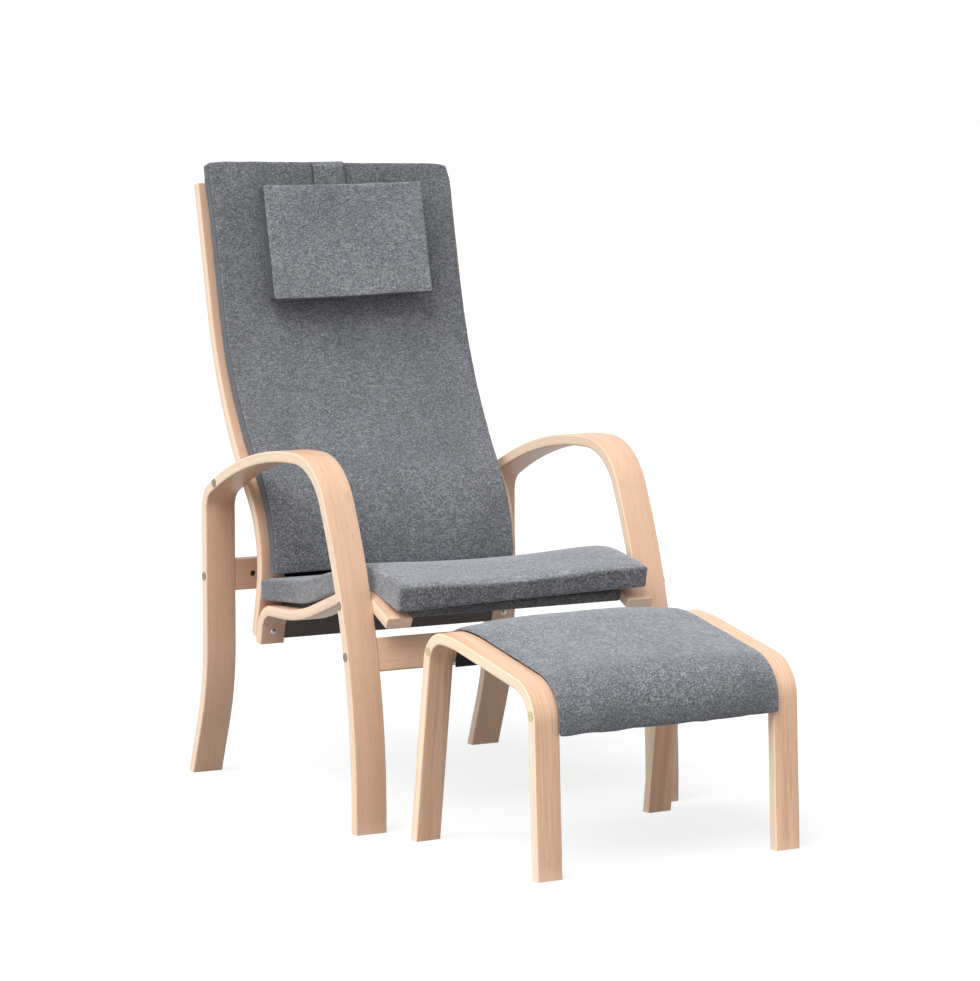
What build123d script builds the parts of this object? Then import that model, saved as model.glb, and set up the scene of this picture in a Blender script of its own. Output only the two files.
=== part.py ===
"""Lounge chair with a high back and bent wood arms, and its padded footstool.

Millimetres, +Z up. The chair faces -Y and the footstool stands in front of it.
Every bent piece is one strip that follows a course of straight runs and bends.
A course is drawn in a side view: its first axis points to the rear, its second up.
Headings are degrees from the rear towards up, and a positive bend turns left.
"""
import os
from math import asin, atan2, copysign, cos, degrees, dist, radians, sin, sqrt, tan

from build123d import *

os.makedirs("parts", exist_ok=True)

# Shared values
overrun = 40.0
sides = (-1, 1)
soft_gap = 0.4
edge_round = 2.5
halvings = 40
long_edge_share = 1.25

# Chair width and its strips
chair_width = 600.0
arm_width = 55.0
arm_thickness = 18.5
strip_width = 45.0
strip_thickness = 18.0

# Arm frame, from the front foot up, over and down to the rear foot
arm_front_inset = 3.2
front_leg_straight = 40.0
front_leg_bend = 1093.0
front_leg_turn = 26.0
arm_front_bend = 111.0
arm_top_bend = 691.0
arm_top_turn = 28.0
arm_rear_bend = 43.0
rear_leg_straight = 228.5
rear_leg_bend = 412.0
rear_leg_turn = 20.5

# Back upright, from its top down
upright_top_y = 710.0
upright_top_z = 1005.0
upright_lean = 13.0
upright_straight = 225.0
shoulder_bend = 700.0
shoulder_turn = 27.0
lumbar_bend = 190.0
lumbar_turn = 53.0
upright_tail = 78.0
upright_tip_chamfer = 8.0

# Seat rail, from the bottom of its short rear leg up and forward
rail_leg_drop = 7.0
rail_leg_straight = 29.0
rail_corner_bend = 40.0
rail_corner_turn = 75.3
rail_flat = 44.0
rail_dip_bend = 408.0
rail_dip_turn = 17.2
rail_rise = 122.0
rail_crest_bend = 132.0
rail_crest_turn = 42.7
rail_front_straight = 58.0

# Cross members
cross_rail_height = 54.0
cross_rail_thickness = 18.0
front_rail_up = 282.0
rear_rail_z = 347.0
seat_bar_width = 40.0
seat_bar_thickness = 14.0
seat_bar_setback = 50.0
seat_bar_drop = 1.0
seat_slat_width = 40.0
seat_slat_thickness = 16.0
rear_panel_height = 65.0
rear_panel_thickness = 15.0
back_slat_width = 50.0
back_slat_thickness = 12.0
back_slat_recess = 1.8
back_slat_steps = (45.0, 190.0, 325.0, 455.0, 625.0)

# Seat cushion, from its rear end forward
seat_pad_thickness = 34.0
seat_pad_rear_y = 455.0
seat_pad_rear_z = 333.4
seat_pad_slope = 6.0
seat_pad_flat = 100.7
seat_pad_dip_bend = 297.0
seat_pad_dip_turn = 8.7
seat_pad_rise = 157.0
seat_pad_crest_bend = 174.0
seat_pad_crest_turn = 26.3
seat_pad_front = 96.0

# Back cushion, which follows the uprights
back_pad_thickness = 32.0
back_pad_overhang = 20.0
back_pad_tail = 8.0

# Width of both cushions, and how far their sides draw in and their middles swell
pad_width = 464.0
pad_crown = 4.0
pad_draw = 5.0
pad_nose = 5.0
pad_corner = 6.0
corner_angles = (0, 35, 65, 90)
crown_shares = (0.2, 0.45, 0.7)

# Seat sling, from the rear panel to the front bar
sling_thickness = 2.5
sling_front_trim = 56.0
sling_tail = 22.0
sling_tail_bend = 6.0

# Head pillow and its strap
pillow_width = 300.0
pillow_offset = -5.0
pillow_height = 197.0
pillow_thickness = 31.0
pillow_drop = 41.0
pillow_crown = 2.5
strap_width = 60.0
strap_thickness = 2.0
strap_offset = -8.0
strap_bend = 6.0
strap_front_reach = 95.0
strap_rear_reach = 45.0

# Footstool, from its front foot up, over and down to the rear foot
stool_width = 486.0
stool_depth_gap = 429.2
stool_offset = 22.5
stool_yaw = 2.9
stool_strip_width = 45.0
stool_thickness = 18.5
stool_front_lean = 2.5
stool_front_straight = 239.7
stool_front_bend = 59.0
stool_top_slope = 11.5
stool_top_straight = 163.7
stool_top_bend = 280.0
stool_rear_bend = 44.3
stool_rear_turn = 82.2
stool_bar_height = 44.0
stool_bar_thickness = 17.0
stool_bar_cover = 4.5
stool_bar_round = 8.0
stool_front_bar_turn = 12.0
stool_rear_bar_turn = 62.0
stool_slat_width = 60.0
stool_slat_thickness = 12.0
stool_slat_shares = (0.2, 0.62)

# Footstool pad
stool_pad_gap = 0.5
stool_pad_front_z = 218.0
stool_pad_rear_z = 283.0
stool_pad_seat = 2.6
stool_pad_edge = 0.8
stool_pad_crown = 13.4
stool_pad_nose = 1.0
stool_crown_shares = (0.06, 0.16, 0.3, 0.5, 0.75)

# Connector bolts, cross dowels, sleeves and pins
bolt_shank = 6.0
bolt_length = 92.0
bolt_head = 14.0
bolt_head_thickness = 2.2
bolt_head_proud = 0.9
bolt_socket = 4.0
bolt_socket_depth = 1.6
bolt_play = 0.4
bolt_end_play = 1.5
dowel_diameter = 10.0
dowel_length = 14.0
dowel_setback = 33.0
dowel_play = 0.2
sleeve_diameter = 9.0
sleeve_length = 16.0
sleeve_setback = 1.0
seat_bolt_length = 28.0
seat_bolt_head = 11.0
seat_bolt_dome = 3.2
seat_bolt_up = 21.0
pin_diameter = 6.0
pin_length = 30.0
pin_play = 0.1

# Values worked out from the ones above
half_width = chair_width / 2
half_inside = half_width - arm_width
half_between = half_inside - strip_width
arm_half = arm_thickness / 2
strip_half = strip_thickness / 2
stool_half = stool_width / 2
stool_inside = stool_half - stool_strip_width
stool_strip_half = stool_thickness / 2


def ahead(point, heading, length):
    """The point a length further on along a heading."""
    angle = radians(heading)
    return point[0] + length * cos(angle), point[1] + length * sin(angle)


def beside(point, heading, shift):
    """The point a shift to the left of a heading."""
    return ahead(point, heading + 90, shift)


def run_on(point, heading, size, turn):
    """Where a straight run (turn 0) or a bend of this radius ends, and its heading there."""
    if turn == 0:
        return ahead(point, heading, size), heading
    radius = copysign(size, turn)
    centre = beside(point, heading, radius)
    return beside(centre, heading + turn, -radius), heading + turn


def course_end(course):
    """The last point of a course and its heading there."""
    point, heading, runs = course
    for size, turn in runs:
        point, heading = run_on(point, heading, size, turn)
    return point, heading


def span_of(runs):
    """The length of the runs of a course."""
    return sum(size * radians(abs(turn)) if turn else size for size, turn in runs)


def along(course, length):
    """The point this far along a course and its heading there."""
    point, heading, runs = course
    for size, turn in runs:
        span = span_of([(size, turn)])
        if length <= span:
            if turn:
                return run_on(point, heading, size, turn * length / span)
            return run_on(point, heading, length, 0)
        point, heading = run_on(point, heading, size, turn)
        length -= span
    return ahead(point, heading, length), heading


def where(gap, low, high):
    """The length between two others where a gap changes its sign, found by halving."""
    starts_below = gap(low) < 0
    for _ in range(halvings):
        middle = (low + high) / 2
        if (gap(middle) < 0) == starts_below:
            low = middle
        else:
            high = middle
    return low


def draw_side(course, shift):
    """Draw the line that runs beside a course, as lines and arcs."""
    point, heading, runs = course
    for size, turn in runs:
        end, end_heading = run_on(point, heading, size, turn)
        first = beside(point, heading, shift)
        last = beside(end, end_heading, shift)
        if turn:
            middle, middle_heading = run_on(point, heading, size, turn / 2)
            ThreePointArc(first, beside(middle, middle_heading, shift), last)
        else:
            Line(first, last)
        point, heading = end, end_heading


def strip_face(plane, course, right, left, nose=0):
    """The side view of a strip between two shifts from its course, with flat or curved ends."""
    start, start_heading, _ = course
    end, end_heading = course_end(course)
    middle = (right + left) / 2
    with BuildSketch(plane) as sketch:
        with BuildLine():
            draw_side(course, left)
            draw_side(course, right)
            for point, heading, out in ((start, start_heading, -nose), (end, end_heading, nose)):
                first = beside(point, heading, right)
                last = beside(point, heading, left)
                if nose:
                    ThreePointArc(first, ahead(beside(point, heading, middle), heading, out), last)
                else:
                    Line(first, last)
        make_face()
    return sketch.sketch


def bar_face(plane, point, heading, length, thickness, round_off):
    """The section of a straight bar whose long side lies along a heading."""
    with BuildSketch(plane) as sketch:
        with Locations(Location((point[0], point[1], 0), (0, 0, heading))):
            RectangleRounded(length, thickness, round_off)
    return sketch.sketch


def disc_face(plane, point, diameter):
    """A round section at a point of a side view."""
    with BuildSketch(plane) as sketch:
        with Locations(point):
            Circle(diameter / 2)
    return sketch.sketch


def long_edges(part, thickness):
    """The edges of a strip's two side faces, without the short ones across its ends."""
    side_faces = part.faces().filter_by(GeomType.PLANE).sort_by(SortBy.AREA)[-2:]
    shortest = thickness * long_edge_share
    return [edge for face in side_faces for edge in face.edges() if edge.length > shortest]


# Courses of the bent pieces
arm_course = (
    (arm_front_inset + arm_half, 0),
    90,
    (
        (front_leg_straight, 0),
        (front_leg_bend, -front_leg_turn),
        (arm_front_bend, front_leg_turn - 90),
        (arm_top_bend, -arm_top_turn),
        (arm_rear_bend, arm_top_turn - 90),
        (rear_leg_straight, 0),
        (rear_leg_bend, rear_leg_turn),
    ),
)
rear_leg_end, rear_leg_heading = course_end(arm_course)
rear_leg_last = -rear_leg_end[1] / sin(radians(rear_leg_heading))
arm_course = (*arm_course[:2], (*arm_course[2], (rear_leg_last + overrun, 0)))
rear_leg_y = course_end((*arm_course[:2], arm_course[2][:6]))[0][0]

upright_heading = 270 - upright_lean
upright_course = (
    (upright_top_y, upright_top_z),
    upright_heading,
    (
        (upright_straight, 0),
        (shoulder_bend, -shoulder_turn),
        (lumbar_bend, lumbar_turn),
        (upright_tail, 0),
    ),
)
upright_end, tail_heading = course_end(upright_course)

rail_heading = tail_heading - 180
rail_start = ahead(beside(upright_end, rail_heading, strip_thickness), tail_heading, rail_leg_drop)
rail_course = (
    rail_start,
    rail_heading,
    (
        (rail_leg_straight, 0),
        (rail_corner_bend, rail_corner_turn),
        (rail_flat, 0),
        (rail_dip_bend, -rail_dip_turn),
        (rail_rise, 0),
        (rail_crest_bend, rail_crest_turn),
        (rail_front_straight, 0),
    ),
)
rail_end, rail_end_heading = course_end(rail_course)

seat_pad_heading = 180 - seat_pad_slope
seat_pad_course = (
    (seat_pad_rear_y, seat_pad_rear_z),
    seat_pad_heading,
    (
        (seat_pad_flat, 0),
        (seat_pad_dip_bend, -seat_pad_dip_turn),
        (seat_pad_rise, 0),
        (seat_pad_crest_bend, seat_pad_crest_turn),
        (seat_pad_front, 0),
    ),
)

back_pad_turn = 90 - (upright_heading - shoulder_turn - 180)
back_pad_course = (
    ahead(upright_course[0], upright_heading, -back_pad_overhang),
    upright_heading,
    (
        (upright_straight + back_pad_overhang, 0),
        (shoulder_bend, -shoulder_turn),
        (lumbar_bend, back_pad_turn),
        (back_pad_tail, 0),
    ),
)
back_pad_rear = -strip_half - soft_gap
back_pad_front = back_pad_rear - back_pad_thickness

stool_course = (
    (stool_strip_half, 0),
    90 - stool_front_lean,
    (
        (stool_front_straight, 0),
        (stool_front_bend, stool_front_lean + stool_top_slope - 90),
        (stool_top_straight, 0),
        (stool_top_bend, -stool_top_slope),
        (stool_rear_bend, -stool_rear_turn),
    ),
)
stool_rear_end, stool_rear_heading = course_end(stool_course)
stool_rear_last = -stool_rear_end[1] / sin(radians(stool_rear_heading))
stool_course = (*stool_course[:2], (*stool_course[2], (stool_rear_last + overrun, 0)))

stool_leg_slope = sin(radians(90 - stool_front_lean))
stool_pad_front_run = stool_front_straight - stool_pad_front_z / stool_leg_slope
stool_pad_rear_run = (stool_rear_end[1] - stool_pad_rear_z) / sin(radians(stool_rear_turn))
stool_pad_course = (
    along(stool_course, stool_front_straight - stool_pad_front_run)[0],
    90 - stool_front_lean,
    (
        (stool_pad_front_run, 0),
        *stool_course[2][1:5],
        (stool_pad_rear_run, 0),
    ),
)

# Where the whole set stands, so that its box is centred on the origin
stool_twist = radians(stool_yaw)
stool_front_y = -stool_depth_gap - stool_half * sin(stool_twist)
upright_rear_y = beside(upright_course[0], upright_heading, strip_half)[0]
chair_shift = -(stool_front_y + upright_rear_y) / 2
chair_frame = Plane(origin=(0, chair_shift, 0), x_dir=(1, 0, 0), z_dir=(0, 0, 1))
stool_frame = Plane(
    origin=(stool_offset, chair_shift - stool_depth_gap, 0),
    x_dir=(cos(stool_twist), sin(stool_twist), 0),
    z_dir=(0, 0, 1),
)


def side_plane(frame, across):
    """The side view plane of a frame, this far to the right of its middle."""
    origin = frame.from_local_coords((across, 0, 0))
    return Plane(origin=origin, x_dir=frame.y_dir, z_dir=frame.x_dir)


def leg_point(height):
    """The middle of the front leg at a height, and the leg's heading there."""
    rise = max(height - front_leg_straight, 0)
    turned = asin(rise / front_leg_bend)
    return along(arm_course, front_leg_straight + front_leg_bend * turned)


def arm_ahead_of_shoulder(run):
    """How far the arm's middle is outside the circle of the upright's shoulder bend."""
    return dist(along(arm_course, run)[0], shoulder_centre) - shoulder_bend


def rail_behind_leg(run):
    """How far the seat rail's middle is behind the middle of the front leg."""
    point = along(rail_course, run)[0]
    return point[0] - leg_point(point[1])[0][0]


# Where the arms are bolted to the uprights, seat rails and cross rails
shoulder_start = along(upright_course, upright_straight)[0]
shoulder_centre = beside(shoulder_start, upright_heading, -shoulder_bend)
arm_top_run = span_of(arm_course[2][:3])
arm_drop_run = span_of(arm_course[2][:5])
upright_bolt = along(arm_course, where(arm_ahead_of_shoulder, arm_top_run, arm_drop_run))[0]
rail_crest_run = span_of(rail_course[2][:5])
rail_bolt = along(rail_course, where(rail_behind_leg, rail_crest_run, span_of(rail_course[2])))[0]
front_rail_point, front_rail_heading = leg_point(front_rail_up)
rear_rail_point = (rear_leg_y, rear_rail_z)
frame_bolt_points = (upright_bolt, rear_rail_point, rail_bolt, front_rail_point)
seat_bolt_point = ahead(rail_start, rail_heading, seat_bolt_up)

# Members between the two seat rails, each with its heading
seat_bar_point = beside(
    ahead(rail_end, rail_end_heading, -seat_bar_setback), rail_end_heading, seat_bar_drop
)
crest_turned = radians(seat_pad_slope + seat_pad_dip_turn)
crest_run = span_of(seat_pad_course[2][:3]) + seat_pad_crest_bend * crest_turned
crest_point = along(seat_pad_course, crest_run)[0]
sling_top = seat_pad_thickness / 2 + soft_gap
sling_bottom = sling_top + sling_thickness
sling_crest_bend = seat_pad_crest_bend - sling_bottom
slat_sag = sling_crest_bend - sqrt(sling_crest_bend**2 - (seat_slat_width / 2) ** 2)
seat_slat_z = crest_point[1] - sling_bottom - soft_gap - slat_sag - seat_slat_thickness / 2
seat_slat_point = (crest_point[0], seat_slat_z)
rear_panel_point = ahead(rail_start, rail_heading, rail_leg_drop + rear_panel_height / 2)
seat_pin_points = (seat_bar_point, seat_slat_point, rear_panel_point)

# Slats between the two uprights, set back a little from their front faces
back_slat_shift = (back_slat_thickness - strip_thickness) / 2 + back_slat_recess
back_slats = []
for step in back_slat_steps:
    slat_point, slat_heading = along(upright_course, step)
    back_slats.append((beside(slat_point, slat_heading, back_slat_shift), slat_heading))
back_pin_points = [point for point, _ in back_slats]

# Seat sling: it hangs on the rear panel's front face and runs under the cushion
sling_middle = (sling_top + sling_bottom) / 2
sling_rear = beside(seat_pad_course[0], seat_pad_heading, sling_middle)
panel_face_shift = rear_panel_thickness / 2 + soft_gap + sling_thickness / 2
panel_face = beside(rear_panel_point, rail_heading, panel_face_shift)
sling_turn = seat_pad_heading - rail_heading
panel_back = (panel_face[0] - sling_rear[0], panel_face[1] - sling_rear[1])
panel_across = panel_back[0] * sin(radians(rail_heading)) - panel_back[1] * cos(radians(rail_heading))
sling_to_face = panel_across / sin(radians(rail_heading - seat_pad_heading))
sling_corner = ahead(sling_rear, seat_pad_heading, sling_to_face)
sling_tangent = sling_tail_bend * tan(radians(sling_turn / 2))
sling_course = (
    ahead(sling_corner, rail_heading, -sling_tangent - sling_tail),
    rail_heading,
    (
        (sling_tail, 0),
        (sling_tail_bend, sling_turn),
        (seat_pad_flat - sling_to_face - sling_tangent, 0),
        (seat_pad_dip_bend + sling_middle, -seat_pad_dip_turn),
        (seat_pad_rise, 0),
        (seat_pad_crest_bend - sling_middle, seat_pad_crest_turn),
        (seat_pad_front - sling_front_trim, 0),
    ),
)
sling_end = course_end(sling_course)[0]
sling_web = (
    sling_end,
    degrees(atan2(seat_bar_point[1] - sling_end[1], seat_bar_point[0] - sling_end[0])),
    ((dist(sling_end, seat_bar_point), 0),),
)

# Cross bars and slats of the footstool
stool_bar_shift = stool_bar_cover - stool_bar_thickness / 2
stool_top_run = span_of(stool_course[2][:2])
stool_top_span = span_of(stool_course[2][2:4])
front_bar_run = stool_front_straight + stool_front_bend * radians(stool_front_bar_turn)
rear_bar_run = stool_top_run + stool_top_span + stool_rear_bend * radians(stool_rear_bar_turn)
stool_bars = (
    ("stool_front_bar", *along(stool_course, front_bar_run)),
    ("stool_rear_bar", *along(stool_course, rear_bar_run)),
)
stool_bolt_points = [point for _, point, _ in stool_bars]
stool_pad_under = stool_bar_cover + stool_pad_seat
stool_slat_shift = stool_pad_under - soft_gap - stool_slat_thickness / 2
stool_slats = []
for share in stool_slat_shares:
    slat_point, slat_heading = along(stool_course, stool_top_run + stool_top_span * share)
    stool_slats.append((beside(slat_point, slat_heading, stool_slat_shift), slat_heading))
stool_pin_points = [point for point, _ in stool_slats]


def save(part, name):
    """Label a finished part and write it."""
    part.label = name
    export_step(part, f"parts/{name}.step")


def cut_round(frame, across, point, diameter, reach):
    """Cut a round hole along X from a side plane, in the part that is being built."""
    hole = disc_face(side_plane(frame, across), point, diameter)
    extrude(hole, amount=reach, mode=Mode.SUBTRACT)


def cut_pin_holes(frame, across, points, reach):
    """Cut blind pin holes along X into the part that is being built."""
    for point in points:
        depth = copysign(pin_length / 2 + pin_play, reach)
        cut_round(frame, across, point, pin_diameter + pin_play, depth)


def bolt_tip(outer):
    """How far from the middle a connector bolt ends, from the outer face of its frame."""
    return outer + bolt_head_proud - bolt_length


def make_bent_frame(name, frame, course, side, outer, width, half, bolt_points, pins=()):
    """A bent frame that stands on the floor, bored for its bolts and for pins in its inner face."""
    low_side = outer - width if side > 0 else -outer
    head_seat = outer + bolt_head_proud - bolt_head_thickness
    with BuildPart() as piece:
        extrude(strip_face(side_plane(frame, low_side), course, -half, half), amount=width)
        split(bisect_by=Plane.XY, keep=Keep.TOP)
        fillet(long_edges(piece.part, 2 * half), radius=edge_round)
        for point in bolt_points:
            through = width + 2 * overrun
            cut_round(frame, side * (outer + overrun), point, bolt_shank + bolt_play, -side * through)
            cut_round(frame, side * head_seat, point, bolt_head + bolt_play, side * overrun)
        cut_pin_holes(frame, side * (outer - width), pins, side)
    save(piece.part, name)


def seat_bolt_plane(side):
    """The plane on a short leg's front face, centred on its bolt and facing the upright."""
    front = beside(seat_bolt_point, rail_heading, strip_half)
    across = side * (half_inside - strip_width / 2)
    origin = chair_frame.from_local_coords((across, front[0], front[1]))
    inward = radians(rail_heading - 90)
    return Plane(origin=origin, x_dir=chair_frame.x_dir, z_dir=(0, cos(inward), sin(inward)))


def make_strip(name, course, side, bolt, pins, tip_chamfer):
    """A strip just inside an arm frame, with holes for its bolts, sleeve and pins."""
    low_side = half_between if side > 0 else -half_inside
    with BuildPart() as piece:
        face = strip_face(side_plane(chair_frame, low_side), course, -strip_half, strip_half)
        extrude(face, amount=strip_width)
        if tip_chamfer:
            tip = piece.edges().filter_by(Axis.X).sort_by(Axis.Z)[:2].sort_by(Axis.Y)[-1:]
            chamfer(tip, length=tip_chamfer)
        fillet(long_edges(piece.part, strip_thickness), radius=edge_round)
        sleeve_reach = sleeve_setback + sleeve_length
        bolt_reach = half_inside - bolt_tip(half_width) + bolt_end_play
        cut_round(chair_frame, side * half_inside, bolt, sleeve_diameter + dowel_play, -side * sleeve_reach)
        cut_round(chair_frame, side * half_inside, bolt, bolt_shank + bolt_play, -side * bolt_reach)
        cut_pin_holes(chair_frame, side * half_between, pins, side)
        with BuildSketch(seat_bolt_plane(side)):
            Circle((bolt_shank + bolt_play) / 2)
        extrude(amount=seat_bolt_length + bolt_end_play, mode=Mode.SUBTRACT)
    save(piece.part, name)


def make_cross(name, frame, half, point, heading, length, thickness):
    """A straight member between two strips, with a pin hole in each end."""
    with BuildPart() as piece:
        face = bar_face(side_plane(frame, -half), point, heading, length, thickness, edge_round)
        extrude(face, amount=2 * half)
        for side in sides:
            cut_pin_holes(frame, side * half, [point], -side)
    save(piece.part, name)


def dowel_plane(frame, side, half, point, heading):
    """The plane through a bolt's axis, square to the cross dowel and facing the inside."""
    inside = radians(heading - 90)
    origin = frame.from_local_coords((side * (half - dowel_setback), point[0], point[1]))
    inward = frame.y_dir * cos(inside) + frame.z_dir * sin(inside)
    return Plane(origin=origin, x_dir=frame.x_dir, z_dir=inward)


def make_cross_rail(name, frame, outer, half, point, heading, shift, sizes):
    """A member held by a connector bolt and a cross dowel at each end."""
    middle = beside(point, heading, shift)
    bolt_reach = half - bolt_tip(outer) + bolt_end_play
    with BuildPart() as piece:
        face = bar_face(side_plane(frame, -half), middle, heading, *sizes)
        extrude(face, amount=2 * half)
        for side in sides:
            cut_round(frame, side * half, point, bolt_shank + bolt_play, -side * bolt_reach)
            dowel_view = dowel_plane(frame, side, half, point, heading)
            hole = disc_face(dowel_view, (0, 0), dowel_diameter + dowel_play)
            extrude(hole, amount=overrun, mode=Mode.SUBTRACT)
            extrude(hole, amount=-dowel_length / 2 - shift - dowel_play, mode=Mode.SUBTRACT)
    save(piece.part, name)


def pad_stations(half, corner, shares):
    """Where a pad's sections lie from its side to its middle, with how drawn in and swollen each is."""
    stations = []
    for angle in corner_angles if corner else (0,):
        stations.append((half - corner * (1 - cos(radians(angle))), 1 - sin(radians(angle)), 0))
    for share in shares:
        stations.append(((half - corner) * (1 - share), 0, sin(radians(90 * share))))
    mirrored = [(-across, drawn, rise) for across, drawn, rise in stations]
    return [*mirrored, (0, 0, 1), *reversed(stations)]


def make_pad(
    name, frame, course, half, under, over, crown, nose, shares=crown_shares, draw=0, corner=0, offset=0
):
    """A cushion lofted across its width, thinner at its sides and swelling to its middle."""
    out = copysign(1, over - under)
    start, heading, runs = course
    faces = []
    for across, drawn, rise in pad_stations(half, corner, shares):
        trim = corner * drawn
        if len(runs) > 1:
            trimmed = ((runs[0][0] - trim, 0), *runs[1:-1], (runs[-1][0] - trim, 0))
        else:
            trimmed = ((runs[0][0] - 2 * trim, 0),)
        base = under + out * draw * drawn
        top = over + out * (crown * rise - draw * drawn)
        section = (ahead(start, heading, trim), heading, trimmed)
        plane = side_plane(frame, across + offset)
        faces.append(strip_face(plane, section, min(base, top), max(base, top), nose))
    with BuildPart() as piece:
        loft(faces, ruled=True)
    save(piece.part, name)


# Chair frame
for side_name, side in zip(("left", "right"), sides):
    make_bent_frame(
        f"arm_frame_{side_name}",
        chair_frame,
        arm_course,
        side,
        half_width,
        arm_width,
        arm_half,
        frame_bolt_points,
    )
    make_strip(
        f"back_upright_{side_name}",
        upright_course,
        side,
        upright_bolt,
        back_pin_points,
        upright_tip_chamfer,
    )
    make_strip(f"seat_rail_{side_name}", rail_course, side, rail_bolt, seat_pin_points, 0)

cross_rail_sizes = (cross_rail_height, cross_rail_thickness, edge_round)
cross_rails = (
    ("front_cross_rail", front_rail_point, front_rail_heading),
    ("rear_cross_rail", rear_rail_point, -90),
)
for name, point, heading in cross_rails:
    make_cross_rail(name, chair_frame, half_width, half_inside, point, heading, 0, cross_rail_sizes)

seat_members = (
    ("seat_front_bar", seat_bar_point, rail_end_heading, seat_bar_width, seat_bar_thickness),
    ("seat_slat", seat_slat_point, 180, seat_slat_width, seat_slat_thickness),
    ("seat_rear_panel", rear_panel_point, rail_heading, rear_panel_height, rear_panel_thickness),
)
for name, *member in seat_members:
    make_cross(name, chair_frame, half_between, *member)
for number, (point, heading) in enumerate(back_slats, 1):
    name = f"back_slat_{number}"
    make_cross(name, chair_frame, half_between, point, heading, back_slat_width, back_slat_thickness)

# Cushions of the chair
make_pad(
    "seat_cushion",
    chair_frame,
    seat_pad_course,
    pad_width / 2,
    seat_pad_thickness / 2,
    -seat_pad_thickness / 2,
    pad_crown,
    pad_nose,
    draw=pad_draw,
    corner=pad_corner,
)
make_pad(
    "back_cushion",
    chair_frame,
    back_pad_course,
    pad_width / 2,
    back_pad_rear,
    back_pad_front,
    pad_crown,
    pad_nose,
    draw=pad_draw,
    corner=pad_corner,
)

# Seat sling with its sleeve round the front bar
sling_half = half_between - soft_gap
bar_rooms = (soft_gap, soft_gap + sling_thickness)
bar_inner, bar_outer = (
    bar_face(
        side_plane(chair_frame, -sling_half),
        seat_bar_point,
        rail_end_heading,
        seat_bar_width + 2 * room,
        seat_bar_thickness + 2 * room,
        edge_round + room,
    )
    for room in bar_rooms
)
sling_plane = side_plane(chair_frame, -sling_half)
with BuildPart() as seat_sling:
    for course in (sling_course, sling_web):
        section = strip_face(sling_plane, course, -sling_thickness / 2, sling_thickness / 2)
        extrude(section, amount=2 * sling_half)
    extrude(bar_outer, amount=2 * sling_half)
    extrude(bar_inner, amount=2 * sling_half, mode=Mode.SUBTRACT)
save(seat_sling.part, "seat_sling")

# Strap over the top of the back cushion, and the pillow that hangs on it
strap_gap = soft_gap + strap_thickness / 2
strap_front_shift = back_pad_front - pad_crown - strap_gap
strap_rear_shift = back_pad_rear + strap_gap
strap_rise = back_pad_overhang + pad_nose + strap_gap
strap_up = upright_heading - 180
strap_top = ahead(upright_course[0], strap_up, strap_rise)
strap_front_top = beside(strap_top, upright_heading, strap_front_shift)
strap_across = strap_rear_shift - strap_front_shift
strap_course = (
    ahead(strap_front_top, upright_heading, strap_front_reach),
    strap_up,
    (
        (strap_front_reach - strap_bend, 0),
        (strap_bend, -90),
        (strap_across - 2 * strap_bend, 0),
        (strap_bend, -90),
        (strap_rear_reach - strap_bend, 0),
    ),
)
strap_plane = side_plane(chair_frame, strap_offset - strap_width / 2)
with BuildPart() as pillow_strap:
    extrude(
        strip_face(strap_plane, strap_course, -strap_thickness / 2, strap_thickness / 2),
        amount=strap_width,
    )
save(pillow_strap.part, "pillow_strap")

pillow_rear = strap_front_shift - strap_gap
pillow_course = (
    ahead(back_pad_course[0], upright_heading, pillow_drop),
    upright_heading,
    ((pillow_height, 0),),
)
make_pad(
    "head_pillow",
    chair_frame,
    pillow_course,
    pillow_width / 2,
    pillow_rear,
    pillow_rear - pillow_thickness,
    pillow_crown,
    pad_nose,
    draw=pad_draw,
    corner=pad_corner,
    offset=pillow_offset,
)

# Footstool
for side_name, side in zip(("left", "right"), sides):
    make_bent_frame(
        f"stool_frame_{side_name}",
        stool_frame,
        stool_course,
        side,
        stool_half,
        stool_strip_width,
        stool_strip_half,
        stool_bolt_points,
        stool_pin_points,
    )
stool_bar_sizes = (stool_bar_height, stool_bar_thickness, stool_bar_round)
for name, point, heading in stool_bars:
    make_cross_rail(
        name, stool_frame, stool_half, stool_inside, point, heading, stool_bar_shift, stool_bar_sizes
    )
for number, (point, heading) in enumerate(stool_slats, 1):
    name = f"stool_slat_{number}"
    make_cross(name, stool_frame, stool_inside, point, heading, stool_slat_width, stool_slat_thickness)
make_pad(
    "stool_pad",
    stool_frame,
    stool_pad_course,
    stool_inside - stool_pad_gap,
    stool_pad_under,
    stool_strip_half + stool_pad_edge,
    stool_pad_crown,
    stool_pad_nose,
    stool_crown_shares,
)


def add_connector_bolt(frame, side, outer, point):
    """Add a connector bolt with a flat head and a six-sided socket to the part being built."""
    head = side_plane(frame, side * (outer + bolt_head_proud))
    extrude(disc_face(head, point, bolt_head), amount=-side * bolt_head_thickness)
    extrude(disc_face(head, point, bolt_shank), amount=-side * bolt_length)
    with BuildSketch(head) as socket:
        with Locations(point):
            RegularPolygon(bolt_socket / 2, 6, major_radius=False)
    extrude(socket.sketch, amount=-side * bolt_socket_depth, mode=Mode.SUBTRACT)


def add_dowel(frame, side, half, point, heading, shift):
    """Add a cross dowel, centred in its bar and bored for the bolt, to the part being built."""
    section = disc_face(dowel_plane(frame, side, half, point, heading), (0, 0), dowel_diameter)
    with BuildPart(mode=Mode.PRIVATE) as dowel:
        extrude(section, amount=dowel_length / 2 - shift)
        extrude(section, amount=-dowel_length / 2 - shift)
        cut_round(frame, side * half, point, bolt_shank + bolt_play, -side * 2 * dowel_setback)
    add(dowel.part)


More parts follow.
